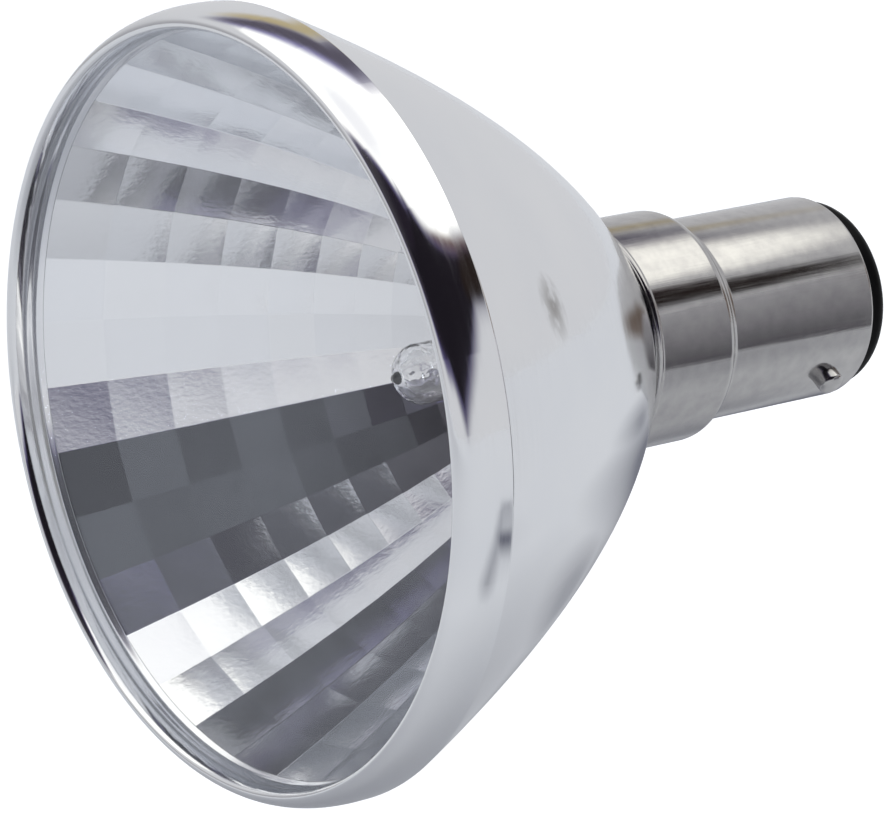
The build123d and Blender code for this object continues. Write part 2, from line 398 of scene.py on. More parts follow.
# %% The cap's sheet, turned
cap_wall = 0.4 * mm
front_lip_height = 0.12 * mm
front_lip_length = 0.5 * mm
shell_edge = 0.3 * mm
front_bend = (front_lip_height**2 + (front_lip_length / 2) ** 2) / (2 * front_lip_height)
front_turn = np.degrees(np.arcsin(front_lip_length / 2 / front_bend))
front_middle = (collar_radius + front_lip_height - front_bend, cap_low.y + front_lip_length / 2)
cap_outline = np.vstack([
    arc(front_middle, front_bend, -front_turn, front_turn, 9),
    shoulder(0, 13),
    arc((shell_radius - shell_edge, cap_high.y - shell_edge), shell_edge, 0, 90, 7),
    [[shell_radius - cap_wall, cap_high.y]],
    shoulder(cap_wall, 13)[::-1],
    [[collar_radius - cap_wall, cap_low.y], [collar_radius, cap_low.y]],
])


def round_angles(count):
    """Equal angles once round."""
    return np.linspace(0, 2 * np.pi, count, endpoint=False)


cap_points = turn(crisp(cap_outline, edge_strip)[:-1], round_angles(240))
cap = make_piece("cap_shell_nickel", cap_points, rows_close=True)
seat(cap, "cap_nickel", "cap_shell")

# %% [markdown]
# The side pins.
# Two pins with rounded noses pass through the shell, and heads hold them from inside. They are
# turned forms too, about an axis that lies across the lamp. The objects could be turned, but a
# piece's place belongs in its mesh here, so the points themselves are laid along that line.

# %% The pin's outline
pin_radius = 1.0 * mm
pin_reach = 1.05 * mm
pin_round = 0.35 * mm
pin_crown = 0.05 * mm
head_radius = 1.4 * mm
head_height = 0.5 * mm
head_gap = 0.05 * mm
pin_end = shell_radius + pin_reach
head_seat = np.sqrt((shell_radius - cap_wall) ** 2 - head_radius**2) - head_gap
head_start = head_seat - head_height
pin_outline = np.vstack([
    [[0, head_start], [head_radius, head_start], [head_radius, head_seat], [pin_radius, head_seat]],
    arc((pin_radius - pin_round, pin_end - pin_crown - pin_round), pin_round, 0, 90, 9),
    [[0, pin_end]],
])
print("a pin is", round((pin_end - head_start) / mm, 2), "mm long")

# %% The two pins
cap_roll = np.radians(36)
pin_line = np.array([np.cos(cap_roll), 0, -np.sin(cap_roll)])
contact_line = np.array([-np.sin(cap_roll), 0, -np.cos(cap_roll)])
axis = np.array([0.0, 1.0, 0.0])
small_round = round_angles(64)
two_sides = (("a", 1), ("b", -1))


def lay_along(points, direction, beside):
    """Turns a form made about the Y axis: its Y runs along direction and its X along beside."""
    return points @ np.stack([beside, direction, np.cross(beside, direction)])


pins = []
for letter, side in two_sides:
    pin_points = lay_along(turn(crisp(pin_outline, edge_strip), small_round), side * pin_line, axis)
    pin = make_piece("side_pin_" + letter, pin_points)
    pins.append(seat(pin, "pin_nickel", "bayonet_pin_" + letter))

# %% [markdown]
# The black end.
# A plug of black glass was melted into the end of the shell. Its face is flat and its edge is well
# rounded, because glass draws itself round as it sets. A cylinder with a Bevel would come close,
# but the turned outline uses what is already here.

# %% The glass plug
glass_low, glass_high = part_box("insulator")
plug_radius = 7.15 * mm
plug_round = 1.3 * mm
plug_outline = np.vstack([
    [[0, glass_low.y], [plug_radius, glass_low.y]],
    arc((plug_radius - plug_round, glass_high.y - plug_round), plug_round, 0, 90, 17),
    [[0, glass_high.y]],
])
plug = make_piece("black_glass_end", turn(crisp(plug_outline, edge_strip), round_angles(144)))
seat(plug, "black_glass", "insulator")

# %% [markdown]
# The contacts.
# Two brass plates lie on the glass, each with a hollow shank through it for a wire. Each is one
# closed outline round a hole, so its rows close as the bowl's do. The second one could be a
# mirrored copy, but a loop keeps both meshes the right way out.

# %% The contact plates
contact_reach = 3.3 * mm
contact_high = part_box("contact_plate_a")[1].y
plate_radius = 1.6 * mm
plate_round = 0.12 * mm
shank_radius = 0.95 * mm
hole_radius = 0.45 * mm
plate_outline = np.vstack([
    [[shank_radius, glass_low.y], [shank_radius, glass_high.y], [plate_radius, glass_high.y]],
    arc((plate_radius - plate_round, contact_high - plate_round), plate_round, 0, 90, 7),
    [[hole_radius, contact_high], [hole_radius, glass_low.y], [shank_radius, glass_low.y]],
])
plates = []
for letter, side in two_sides:
    plate_points = turn(crisp(plate_outline, edge_strip)[:-1], small_round)
    plate_points = plate_points + side * contact_reach * contact_line
    plate = make_piece("contact_" + letter, plate_points, rows_close=True)
    plates.append(seat(plate, "contact_brass", "contact_plate_" + letter))

# %% [markdown]
# The solder.
# A bead of solder closes each contact over its wire. Solder sets in a slightly uneven drop, which
# could be sculpted, but two soft waves round a flattened dome give it without any hand work, and a
# different start of the waves keeps the two beads from being twins.

# %% The solder beads
solder_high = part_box("solder_bead_a")[1].y
solder_radius = 1.25 * mm
dome_power = 0.8
wide_wave, wide_count = 0.035, 3
short_wave, short_count = 0.02, 5
climb = np.linspace(0, np.pi / 2, 24)
dome_y = contact_high + (solder_high - contact_high) * np.sin(climb)
dome = np.stack([solder_radius * np.cos(climb) ** dome_power, dome_y], axis=1)
beads = []
for letter, side in two_sides:
    waves = 1 - wide_wave * (1 + np.sin(wide_count * small_round + side))
    waves = waves - short_wave * (1 + np.sin(short_count * small_round - 2 * side))
    drop = turn(np.vstack([[[0, contact_high]], dome]), small_round, waves)
    bead = make_piece("solder_drop_" + letter, drop + side * contact_reach * contact_line)
    beads.append(seat(bead, "solder", "solder_bead_" + letter))

# %% [markdown]
# The quartz capsule.
# A quartz tube was closed to a dome in front, with the small pip where it was pumped out, and
# pressed flat behind round the leads. A cube with a Subdivision Surface could be pulled into this
# shape, but clear glass shows every lump. So its sections along the axis are worked out: circles
# on the tube, then an eased change into the slot-shaped pinch.

# %% The outline of the pinch
capsule_low, capsule_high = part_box("capsule")
tube_radius = 2.2 * mm
focus_y = vertex_y - focal_length
tube_behind_focus = 2.7 * mm
tube_end = focus_y + tube_behind_focus
pinch_length = 2.2 * mm
pinch_front = tube_end + pinch_length
pinch_half_width = 2.8 * mm
pinch_half_thickness = 1.0 * mm


def pinch_reach(angles):
    """Distance from the axis to a slot-shaped outline, straight sides joined by half circles: the
    nearer of the flat side and the round end along each ray."""
    along, across = np.abs(np.sin(angles)), np.abs(np.cos(angles))
    middle = pinch_half_width - pinch_half_thickness
    flat_side = pinch_half_thickness / np.maximum(across, tiny)
    under_root = np.maximum(pinch_half_thickness**2 - (across * middle) ** 2, 0)
    return np.where(flat_side * along <= middle, flat_side, along * middle + np.sqrt(under_root))


print("half the pinch in mm:", round(pinch_half_width / mm, 1), "by", round(pinch_half_thickness / mm, 1))

# %% The sections of the capsule


def across_axis(local_x, local_y, y):
    """Points from the cap's own two directions and a place along the lamp's axis."""
    parts = (local_x, pin_line), (local_y, contact_line), (y, axis)
    return sum(np.multiply.outer(amount, line) for amount, line in parts)


def capsule_skin(y, round_radius, angles):
    """Sections along the axis: a circle up to the end of the tube, then an eased change, three
    times share squared less twice share cubed, into the slot-shaped pinch."""
    share = np.clip((y - tube_end) / (pinch_front - tube_end), 0, 1)
    ease = (share**2 * (3 - 2 * share))[:, None]
    reach = round_radius[:, None] * (1 - ease) + pinch_reach(angles) * ease
    along = np.broadcast_to(y[:, None], reach.shape)
    return across_axis(reach * np.cos(angles), reach * np.sin(angles), along)


print("the focus lies", round((focus_y - capsule_low.y) / mm, 2), "mm behind the capsule's tip")

# %% The dome and its pip
pip_height = 0.6 * mm
pip_radius = 0.5 * mm
pip_length = 0.9 * mm
blend_power = 2
ball_y = capsule_low.y + pip_height + tube_radius


def dome_stations(front, centre, count):
    """Stations that crowd towards the front of a dome, by a quarter of a cosine wave."""
    return centre - (centre - front) * np.cos(np.linspace(0, np.pi / 2, count))


nose_y = dome_stations(capsule_low.y, ball_y, 60)
ball = np.sqrt(np.clip(tube_radius**2 - (ball_y - nose_y) ** 2, 0, None))
pip_place = np.clip((nose_y - capsule_low.y) / pip_length, 0, 1)
pip = pip_radius * np.sqrt(1 - (1 - pip_place) ** 2)
nose_radius = (ball**blend_power + pip**blend_power) ** (1 / blend_power)
nose_radius = np.minimum(nose_radius, tube_radius)
print("the dome and its pip have", len(nose_y), "sections")

# %% The outside of the quartz
capsule_angles = round_angles(96)
body_y = np.concatenate([
    np.linspace(ball_y, tube_end, 12)[1:],
    np.linspace(tube_end, pinch_front, 14)[1:],
    np.linspace(pinch_front, capsule_high.y, 6)[1:],
])
skin_y = np.concatenate([nose_y, body_y, [capsule_high.y]])
skin_radius = np.concatenate([nose_radius, np.full(len(body_y), tube_radius), [0]])
skin = capsule_skin(skin_y, skin_radius, capsule_angles)
skin[-1] = capsule_high.y * axis
print("the quartz has", len(skin), "sections")

# %% [markdown]
# The gas space.
# Light bends where it enters the quartz and again where it leaves it, so clear glass needs both of
# its surfaces. A Solidify modifier would give the wall, but the pinch is solid quartz. So the gas
# space is a second closed grid in the same mesh, a tube with two round ends, turned inside out.

# %% The capsule with its gas space
gas_radius = 1.6 * mm
front_gas = dome_stations(ball_y - gas_radius, ball_y, 30)
back_gas = 2 * tube_end - dome_stations(tube_end - gas_radius, tube_end, 30)[::-1]
gas_y = np.concatenate([front_gas, np.linspace(ball_y, tube_end, 10)[1:-1], back_gas])
off_end = np.maximum(np.maximum(ball_y - gas_y, gas_y - tube_end), 0)
gas_outline = np.stack([np.sqrt(np.maximum(gas_radius**2 - off_end**2, 0)), gas_y], axis=1)
gas = turn(gas_outline, capsule_angles)[:, ::-1]
capsule = make_piece("quartz_capsule", skin[:, ::-1], gas)
seat(capsule, "quartz", "capsule")

# %% [markdown]
# The wires in the capsule.
# A tungsten coil sits at the bowl's focus, between a short lead at its back and a long one that
# runs along it and hooks round its front. A curve with a bevel would make such wires too, but it
# leaves their ends open. Here a round section is carried along a path and closed at both ends.

# %% The tungsten coil


def wire(path, radius, reference, sides):
    """Tube with closed ends: at each point of the path a circle in the plane of two directions,
    the cross product of the path's own direction with the reference, and the third one."""
    ahead = np.gradient(path, axis=0)
    ahead /= np.linalg.norm(ahead, axis=1, keepdims=True)
    side = np.cross(ahead, reference)
    side /= np.linalg.norm(side, axis=1, keepdims=True)
    third = np.cross(ahead, side)
    angle = round_angles(sides)[:, None]
    circle = radius * (np.cos(angle) * side[:, None] + np.sin(angle) * third[:, None])
    ends = np.broadcast_to(path[[0, -1], None], (2, sides, 3))
    return np.concatenate([ends[:1], path[:, None] + circle, ends[1:]])[:, ::-1]


coil_radius = 0.55 * mm
coil_wire_radius = 0.13 * mm
coil_length = 4.0 * mm
coil_turns = 8.5
along_coil = np.linspace(0, 1, 340)
coil_angle = np.pi / 2 + 2 * np.pi * coil_turns * along_coil
coil_y = focus_y + coil_length * (along_coil - 0.5)
coil_path = across_axis(coil_radius * np.cos(coil_angle), coil_radius * np.sin(coil_angle), coil_y)
coil = make_piece("tungsten_coil", wire(coil_path, coil_wire_radius, axis, 14))
seat(coil, "tungsten", "filament")

# %% The two leads
lead_radius = 0.2 * mm
lead_shift = -0.1 * mm
short_reach = -0.93 * mm
long_reach = 1.3 * mm
hook_bend = 0.5 * mm
short_low, short_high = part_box("inner_lead_short")
long_low, long_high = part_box("inner_lead_long")
hook_y = long_low.y + lead_radius
straight = np.linspace(short_low.y, short_high.y, 8)
hook = np.vstack([
    [[long_reach, long_high.y]],
    arc((long_reach - hook_bend, hook_y + hook_bend), hook_bend, 0, -90, 13),
    [[0, hook_y]],
])
short_aside, long_aside = np.full_like(straight, lead_shift), np.full_like(hook[:, 0], lead_shift)
short_path = across_axis(short_aside, np.full_like(straight, short_reach), straight)
long_path = across_axis(long_aside, hook[:, 0], hook[:, 1])
leads = []
for name, lead_path in (("short", short_path), ("long", long_path)):
    lead = make_piece(name + "_lead", wire(lead_path, lead_radius, pin_line, 16))
    leads.append(seat(lead, "lead_metal", "inner_lead_" + name))

# %% [markdown]
# The cement.
# White ceramic paste holds the pinch in the bowl's neck. Only its front shows, at the bottom of the
# bowl: a slightly lumpy face that climbs a little where it wets the quartz. A cylinder with a
# Boolean cut would leave a knife edge there. Instead one grid runs from the hole round the pinch
# over the lumpy face and down the outside to the back.

# %% The cement's hole and face
cement_low, cement_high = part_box("cement")
paste_gap = 0.01 * mm
paste_clearance = 0.1 * mm
paste_radius = bore_radius - paste_clearance
creep = 0.25 * mm
creep_fade = 0.12
creep_waves, creep_count = 0.3, 5
lump = 0.05 * mm
lumps_round, lumps_out = 3, 9
hole_y = np.linspace(capsule_high.y, cement_low.y, 8)
hole = capsule_skin(hole_y, np.full_like(hole_y, tube_radius + paste_gap), capsule_angles)
hole[..., [0, 2]] *= 1 + paste_gap / pinch_half_thickness
out = np.linspace(0, 1, 25)[1:, None]
inner_edge = np.hypot(hole[-1][:, 0], hole[-1][:, 2])
face_radius = inner_edge + (paste_radius - inner_edge) * out
climbing = creep * (np.exp(-out / creep_fade) - np.exp(-1 / creep_fade))
climbing = climbing * (1 + creep_waves * np.sin(creep_count * capsule_angles))
lumps = lump * np.sin(lumps_round * capsule_angles + lumps_out * out) * np.sin(np.pi * out)
face_x, face_z = face_radius * np.cos(capsule_angles), face_radius * np.sin(capsule_angles)
face = across_axis(face_x, face_z, cement_low.y + lumps - climbing)
hole[-1] += (face[0, :, 1] - hole[-1, :, 1])[:, None] * axis
print("the paste climbs by up to", round(climbing.max() / mm, 2), "mm")

# %% The cement as one grid
behind_neck = bowl_high.y + paste_clearance
paste_back_radius = shell_radius - cap_wall - paste_clearance
back_outline = crisp(np.array([
    [paste_radius, behind_neck],
    [paste_back_radius, behind_neck],
    [paste_back_radius, cement_high.y],
    [0, cement_high.y],
]), edge_strip)
back_radius = back_outline[:, :1]
back_y = np.broadcast_to(back_outline[:, 1:], (len(back_outline), len(capsule_angles)))
back = across_axis(back_radius * np.cos(capsule_angles), back_radius * np.sin(capsule_angles), back_y)
bottom = np.broadcast_to(capsule_high.y * axis, hole[:1].shape)
cement = make_piece("cement_fill", np.concatenate([bottom, hole, face, back])[:, ::-1])
seat(cement, "cement", "cement")

# %% [markdown]
# Finishes.
# No picture is used: every finish is a small tree of shader nodes, written out so that it can be
# read and changed. The node editor gives the same trees, but a few short functions are quicker
# here, because the patterns come back: grain, marks round the axis and a relief so low that it only
# bends the mirror image. Each function adds its nodes and returns the socket of its result.

# %% Making and joining nodes


def connect(tree, node, inputs):
    """Links an input to a socket, or sets it to a plain value."""
    for name, value in inputs.items():
        if isinstance(value, bpy.types.NodeSocket):
            tree.links.new(value, node.inputs[name])
        else:
            node.inputs[name].default_value = value


def add(tree, kind, inputs, output=0, **settings):
    """Shader node of a kind with its settings and inputs, as the socket of one of its results."""
    node = tree.nodes.new("ShaderNode" + kind)
    for name, value in settings.items():
        setattr(node, name, value)
    connect(tree, node, inputs)
    return node.outputs[output]


print("kinds of shader node to choose from:", sum(name.startswith("ShaderNode") for name in dir(bpy.types)))

# %% [markdown]
# The contacts' brass.
# Bare brass that was handled and heated has clouds of a darker and a lighter tone, and its polish
# comes and goes. A painted picture would need seams, so noise between two colours gives the clouds,
# and finer noise changes the roughness. The noise reads the point's own place, so it is as fine as
# it would be on the real piece.

# %% Grain as fine as on the piece


def place(tree):
    """Each point's own place on the piece, in metres."""
    return add(tree, "TexCoord", {}, "Object")


def vector(tree, operation, first, second=(0, 0, 0), output="Vector"):
    """Result of one vector operation."""
    return add(tree, "VectorMath", {0: first, 1: second}, output, operation=operation)


def grain(tree, size, detail=3.0, stretch=(1, 1, 1)):
    """Noise between 0 and 1 whose lumps are about this size, longer along a larger stretch."""
    where = vector(tree, "DIVIDE", place(tree), [size * share for share in stretch])
    return add(tree, "TexNoise", {"Vector": where, "Scale": 1.0, "Detail": detail}, "Fac")


print("helpers for grain:", [helper.__name__ for helper in (place, vector, grain)])

# %% Tones between two ends


def between(tree, share, low, high, start=0.3, stop=0.7):
    """Value that goes from low to high while the share goes from start to stop."""
    ends = {"Value": share, "From Min": start, "From Max": stop, "To Min": low, "To Max": high}
    return add(tree, "MapRange", ends)


def blend(tree, share, first, second):
    """Colour between two colours, each three numbers or the socket of a colour."""
    ends = {0: share}
    for slot, colour in ((6, first), (7, second)):
        ends[slot] = colour if isinstance(colour, bpy.types.NodeSocket) else (*colour, 1)
    return add(tree, "Mix", ends, 2, data_type="RGBA")


print("helpers for tones:", [helper.__name__ for helper in (between, blend)])

# %% Brass


def finish(name):
    """New material with its node tree."""
    material = bpy.data.materials.new(name)
    material.use_nodes = True
    return material, material.node_tree


def wire_up(material, inputs):
    """Fills in the shader of a material."""
    tree = material.node_tree
    connect(tree, tree.nodes["Principled BSDF"], inputs)
    print(material.name, "has", len(tree.nodes), "nodes")


brass, tree = finish("contact_brass")
clouds = between(tree, grain(tree, 0.7 * mm), 0, 1)
wire_up(brass, {
    "Base Color": blend(tree, clouds, (0.5, 0.38, 0.2), (0.72, 0.58, 0.32)),
    "Metallic": 1.0,
    "Roughness": between(tree, grain(tree, 0.3 * mm), 0.25, 0.45),
})

# %% [markdown]
# The solder.
# Solder is grey and sets with a frosted, slightly wrinkled skin. The wrinkles could be modelled,
# but they are far smaller than the bead, so a Bump node bends the light instead.

# %% Solder


def relief(tree, height, depth):
    """Normal of a surface whose height runs over this depth, in metres."""
    return add(tree, "Bump", {"Height": height, "Strength": 1.0, "Distance": depth})


solder, tree = finish("solder")
wire_up(solder, {
    "Base Color": blend(tree, grain(tree, 0.5 * mm), (0.45, 0.45, 0.46), (0.66, 0.66, 0.67)),
    "Metallic": 1.0,
    "Roughness": between(tree, grain(tree, 0.25 * mm), 0.25, 0.5),
    "Normal": relief(tree, grain(tree, 0.35 * mm), 0.02 * mm),
})

# %% [markdown]
# The black glass.
# It is almost black, half dull, and wavy from the melt. A plain black would do from afar, but a
# faint cloud and a low relief keep its flat end from looking like a hole. Little specular light is
# left on it, so that it stays as dark as on the real lamp.

# %% Black glass
black_glass, tree = finish("black_glass")
wire_up(black_glass, {
    "Base Color": blend(tree, grain(tree, 3 * mm), (0.0012, 0.0012, 0.0015), (0.005, 0.0045, 0.0045)),
    "Roughness": between(tree, grain(tree, 1.2 * mm), 0.28, 0.4),
    "Specular IOR Level": 0.035,
    "Normal": relief(tree, grain(tree, 1.6 * mm), 0.02 * mm),
})

# %% [markdown]
# The wires and the paste.
# Tungsten is dark and drawn rough, and the leads are a lighter metal. The paste is an off-white
# ceramic with a sandy skin. Scratches and pores could be added, but none of them fills more than a
# few points of the picture, so each is one colour blend, with grain as fine as the wire is thin.

# %% Tungsten, lead metal and paste
wire_grain = 0.2 * mm


def wire_metal(name, cloud, dark, light, smoothest, roughest):
    """Finish of a drawn wire: clouds of this size between two tones, and a polish that comes and
    goes."""
    metal, tree = finish(name)
    wire_up(metal, {
        "Base Color": blend(tree, grain(tree, cloud), dark, light),
        "Metallic": 1.0,
        "Roughness": between(tree, grain(tree, wire_grain), smoothest, roughest),
    })
    return metal


tungsten = wire_metal("tungsten", 0.3 * mm, (0.25, 0.24, 0.24), (0.4, 0.39, 0.38), 0.3, 0.5)
lead_metal = wire_metal("lead_metal", 0.6 * mm, (0.45, 0.44, 0.43), (0.6, 0.59, 0.57), 0.25, 0.4)
paste, tree = finish("ceramic_cement")
wire_up(paste, {
    "Base Color": blend(tree, grain(tree, 0.3 * mm), (0.78, 0.75, 0.69), (0.9, 0.88, 0.83)),
    "Roughness": 0.9,
    "Normal": relief(tree, grain(tree, 0.2 * mm), 0.06 * mm),
})

# %% [markdown]
# The quartz.
# Clear glass has no colour of its own, only bent light. Fused by hand, it is never quite even, so a
# long, shallow relief makes the lights on it swim. Full transmission would lose it against the
# facets, so a small part of it stays opaque, like the film that a lit lamp leaves on its glass.

# %% Quartz
quartz, tree = finish("quartz")
wire_up(quartz, {
    "Base Color": (1, 1, 1, 1),
    "Roughness": 0.0,
    "Transmission Weight": 0.95,
    "IOR": 1.46,
    "Normal": relief(tree, grain(tree, 0.9 * mm, 1.0), 0.12 * mm),
})

# %% [markdown]
# The nickel.
# The cap was drawn through a die, and plating keeps the marks of that: fine lines along the axis
# that widen every light on it. Anisotropy would widen lights too, but the lines would not show.
# So noise that is short round the cap and long along it drives the roughness and a low relief.
# Rounder noise gives the faint clouds of plate that was handled.

# %% Nickel plate


def marks(tree, radius, around, along):
    """Noise on a turned piece, by the direction round its axis times its radius and by the place
    along the axis: streaks of these two lengths."""
    flat = vector(tree, "MULTIPLY", place(tree), (1, 0, 1))
    heading = vector(tree, "NORMALIZE", flat)
    where = vector(tree, "MULTIPLY", place(tree), (0, 1 / along, 0))
    where = vector(tree, "ADD", where, vector(tree, "MULTIPLY", heading, [radius / around] * 3))
    return add(tree, "TexNoise", {"Vector": where, "Scale": 1.0, "Detail": 2.0}, "Fac")


nickel, tree = finish("nickel_plate")
drawn = marks(tree, shell_radius, 0.1 * mm, 4 * mm)
clouds = between(tree, grain(tree, 1.1 * mm), 0, 1)
wire_up(nickel, {
    "Base Color": blend(tree, clouds, (0.47, 0.46, 0.46), (0.55, 0.54, 0.53)),
    "Metallic": 1.0,
    "Roughness": between(tree, drawn, 0.1, 0.18),
    "Normal": relief(tree, drawn, 0.002 * mm),
})

# %% [markdown]
# The land inside the mouth.
# It was turned on a lathe and not polished, so fine lines run round it. They could be cut into the
# mesh, but the same marks as on the cap do this with fewer points, only long round the axis and
# short along it. A little less than full metal lets it catch some soft light, as brushed aluminium
# does.

# %% Brushed aluminium
brushed, tree = finish("brushed_aluminium")
lines = marks(tree, land_radius, 20 * mm, 0.3 * mm)
wire_up(brushed, {
    "Base Color": blend(tree, between(tree, lines, 0, 1), (0.8, 0.81, 0.84), (0.92, 0.92, 0.93)),
    "Metallic": 0.92,
    "Roughness": between(tree, lines, 0.12, 0.2),
    "Normal": relief(tree, lines, 0.003 * mm),
})

# %% [markdown]
# The facets' aluminium.
# The pressed mirrors are bright, with a fine orange peel and a slight haze that differs from facet
# to facet. One material for each facet would be hundreds of materials. Instead every face carries
# a number, its haze, and one tree reads that number with an Attribute node.

# %% Facet aluminium
facet_aluminium, tree = finish("facet_aluminium")
haze = add(tree, "Attribute", {}, "Fac", attribute_name="facet_haze")
peel = grain(tree, 0.34 * mm, 2.0, (1, 1.8, 1))
wire_up(facet_aluminium, {
    "Base Color": blend(tree, haze, (0.94, 0.945, 0.955), (0.82, 0.83, 0.86)),
    "Metallic": between(tree, haze, 0.955, 0.835, 0, 1),
    "Roughness": between(tree, grain(tree, 2.5 * mm), 0.09, 0.13),
    "Normal": relief(tree, peel, 0.005 * mm),
})

# %% [markdown]
# The outside's aluminium.
# It was polished on a wheel, which leaves hardly visible lines round the axis. On its flank the
# colour is darker in one oval patch of some millimetres. It could be painted on the mesh, but an oval
# of distance from a point, broken up by streaks of noise, keeps its place at any resolution.

# %% An oval patch on a piece


def math(tree, operation, first, second=0.0):
    """Result of one arithmetic operation."""
    return add(tree, "Math", {0: first, 1: second}, operation=operation)


def oval(tree, middle, half, full, none):
    """Share of an oval patch: one where the offset from its middle over its half sizes is shorter
    than full, zero where it is longer than none."""
    offset = vector(tree, "SUBTRACT", place(tree), middle)
    offset = vector(tree, "DIVIDE", offset, half)
    return between(tree, vector(tree, "LENGTH", offset, output="Value"), 1.0, 0.0, full, none)


print("helpers for patches:", [helper.__name__ for helper in (math, oval)])

# %% Polished aluminium
# One oval on the flank is darker in colour.
dark_oval_angle = np.radians(25.5)
dark_oval_radius = 24.4 * mm
dark_oval_y = -38.7 * mm
dark_oval_half = (1.6 * mm, 1.5 * mm, 2.4 * mm)
dark_oval_full, dark_oval_edge = 0.2, 1.2
dark_oval_middle = (dark_oval_radius * np.cos(dark_oval_angle), dark_oval_y, dark_oval_radius * np.sin(dark_oval_angle))
polished, tree = finish("polished_aluminium")
streak = between(tree, grain(tree, 0.9 * mm, 2.0, (1, 1, 2)), 0.3, 1, 0.42, 0.58)
dark_oval = oval(tree, dark_oval_middle, dark_oval_half, dark_oval_full, dark_oval_edge)
dark_oval = math(tree, "MULTIPLY", dark_oval, streak)
clouds = between(tree, grain(tree, 9 * mm), 0, 1)
shine = blend(tree, clouds, (0.86, 0.87, 0.89), (0.9, 0.905, 0.915))
wheel = marks(tree, rim_radius, 15 * mm, 0.25 * mm)
wire_up(polished, {
    "Base Color": blend(tree, dark_oval, shine, (0.42, 0.41, 0.4)),
    "Metallic": 1.0,
    "Roughness": between(tree, wheel, 0.07, 0.13),
    "Normal": relief(tree, wheel, 0.0004 * mm),
})

# %% [markdown]
# The bowl's three finishes.
# The bowl is one mesh with three finishes, and each face names its own by a number. The numbers
# could be set by hand in Edit Mode, but the grid knows them: its rows run from the outside over the
# facets to the mouth, so the row of a face says which finish it has.

# %% Finishes by the rows of the bowl
for material in (polished, facet_aluminium, brushed):
    bowl.data.materials.append(material)
row_of_face, column_of_face = np.divmod(np.arange(len(bowl.data.polygons)), len(bowl_angles))
first_facet_row = len(crisp_outside)
first_land_row = first_facet_row + len(facets)
last_land_row = first_land_row + len(land)
is_facet = (row_of_face >= first_facet_row) & (row_of_face < first_land_row)
is_land = (row_of_face >= first_land_row) & (row_of_face < last_land_row)
bowl.data.polygons.foreach_set("material_index", (is_facet + 2 * is_land).astype(np.int32))
print("faces on the facets:", is_facet.sum(), "and on the land:", is_land.sum())

# %% [markdown]
# The haze of the facets.
# It differs by chance from one facet to the next, grows a little towards the mouth and is strongest
# at one side of the bowl. It could be painted face by face, but there are hundreds of facets. So a
# random number for each one is multiplied by a share that follows its heading round the axis,
# given in degrees.

# %% How hazy each facet is
random_haze = 0.7
haze_towards_mouth = 0.3
haze_headings = (100, 140, 196, 204, 228, 242)
haze_shares = (0.1, 0.45, 0.45, 1.0, 1.0, 0.1)
hazes = random_haze * np.random.default_rng(4).random((facet_rings, facets_round))
hazes += haze_towards_mouth * np.linspace(0, 1, facet_rings)[:, None]
facet_headings = np.degrees(facet_start + sector * (facet_numbers + 0.5))
hazes *= np.interp(facet_headings, haze_headings, haze_shares)
ring_of_face = np.clip((row_of_face - first_facet_row) // len(rows_in_facet), 0, facet_rings - 1)
facet_of_face = column_of_face // len(columns_in_facet)
haze_layer = bowl.data.attributes.new("facet_haze", "FLOAT", "FACE")
haze_layer.data.foreach_set("value", hazes[ring_of_face, facet_of_face].astype(np.float32))
print("haze of the facets, from", round(hazes.min(), 2), "to", round(hazes.max(), 2))

# %% [markdown]
# The other pieces' finishes.
# Every other piece has a single finish. The foils and outer leads lie hidden in the pinch and in
# the cap and keep their solids. Those could stay bare, but the bulb may be taken apart, so they get
# a finish too.

# %% One finish for each of the other pieces
finished = [(cap, nickel), (plug, black_glass), (capsule, quartz), (coil, tungsten), (cement, paste)]
for group, material in ((pins, nickel), (plates, brass), (beads, solder), (leads, lead_metal)):
    finished += [(piece, material) for piece in group]
for piece, material in finished:
    piece.data.materials.append(material)
for name in ("foil_a", "foil_b", "outer_lead_a", "outer_lead_b"):
    nodes[name].data.materials.clear()
    nodes[name].data.materials.append(lead_metal)
print(len(finished), "pieces have their finish")

# %% [markdown]
# The camera.
# It stands in front of the bulb, to its right and a little above it, so that the mouth and the cap
# show at once. Its place was found by fitting the outlines of the mouth, the wall and the cap. A
# wide lens close by would make the mouth too large against the cap, so a long lens looks on from
# further off. The Standard view shows a colour as it is written.

# %% The camera
camera_place = (0.250701, -0.221183, 0.086763)
camera_dip = np.radians(15.901)
camera_heading = np.radians(52.853)
camera_data = bpy.data.cameras.new("camera")
camera_data.lens = 185.02
camera_data.sensor_width = 36
camera_data.sensor_fit = "HORIZONTAL"
camera_data.clip_start = 10 * mm
camera = bpy.data.objects.new("camera", camera_data)
camera.location = camera_place
camera.rotation_euler = (np.pi / 2 - camera_dip, 0, camera_heading)
bpy.context.scene.collection.objects.link(camera)
bpy.context.scene.camera = camera
bpy.context.scene.view_settings.view_transform = "Standard"
print("the camera is", round(camera.location.length / mm), "mm from the pins")

# %% [markdown]
# The studio.
# Mirrors show little of themselves and much of the room, so the room is what makes this bulb look
# like metal. It is a pale room with a white ceiling of light, a dark opening on the viewer's side,
# a dark rail on the far side and a brown patch of painted shade, which the cap and the bowl's wall
# mirror next to the collar. Cards and flags could be modelled, but a card that is far away is only
# a direction, so each one is a patch in the world's own colour, given by its azimuth and its
# elevation in degrees. Azimuth 0 is -Y, where the beam goes, and 90 is +X.

# %% Directions in the sky
world = bpy.data.worlds.new("studio")
bpy.context.scene.world = world
world.use_nodes = True
sky = world.node_tree
ray = add(sky, "TexCoord", {}, "Generated")
ray_x, ray_y, ray_z = [add(sky, "SeparateXYZ", {"Vector": ray}, letter) for letter in "XYZ"]
azimuth = math(sky, "ARCTAN2", ray_x, math(sky, "MULTIPLY", ray_y, -1.0))
elevation = math(sky, "ARCSINE", ray_z)
print("nodes for the two angles:", len(sky.nodes))

# %% Patches in the sky


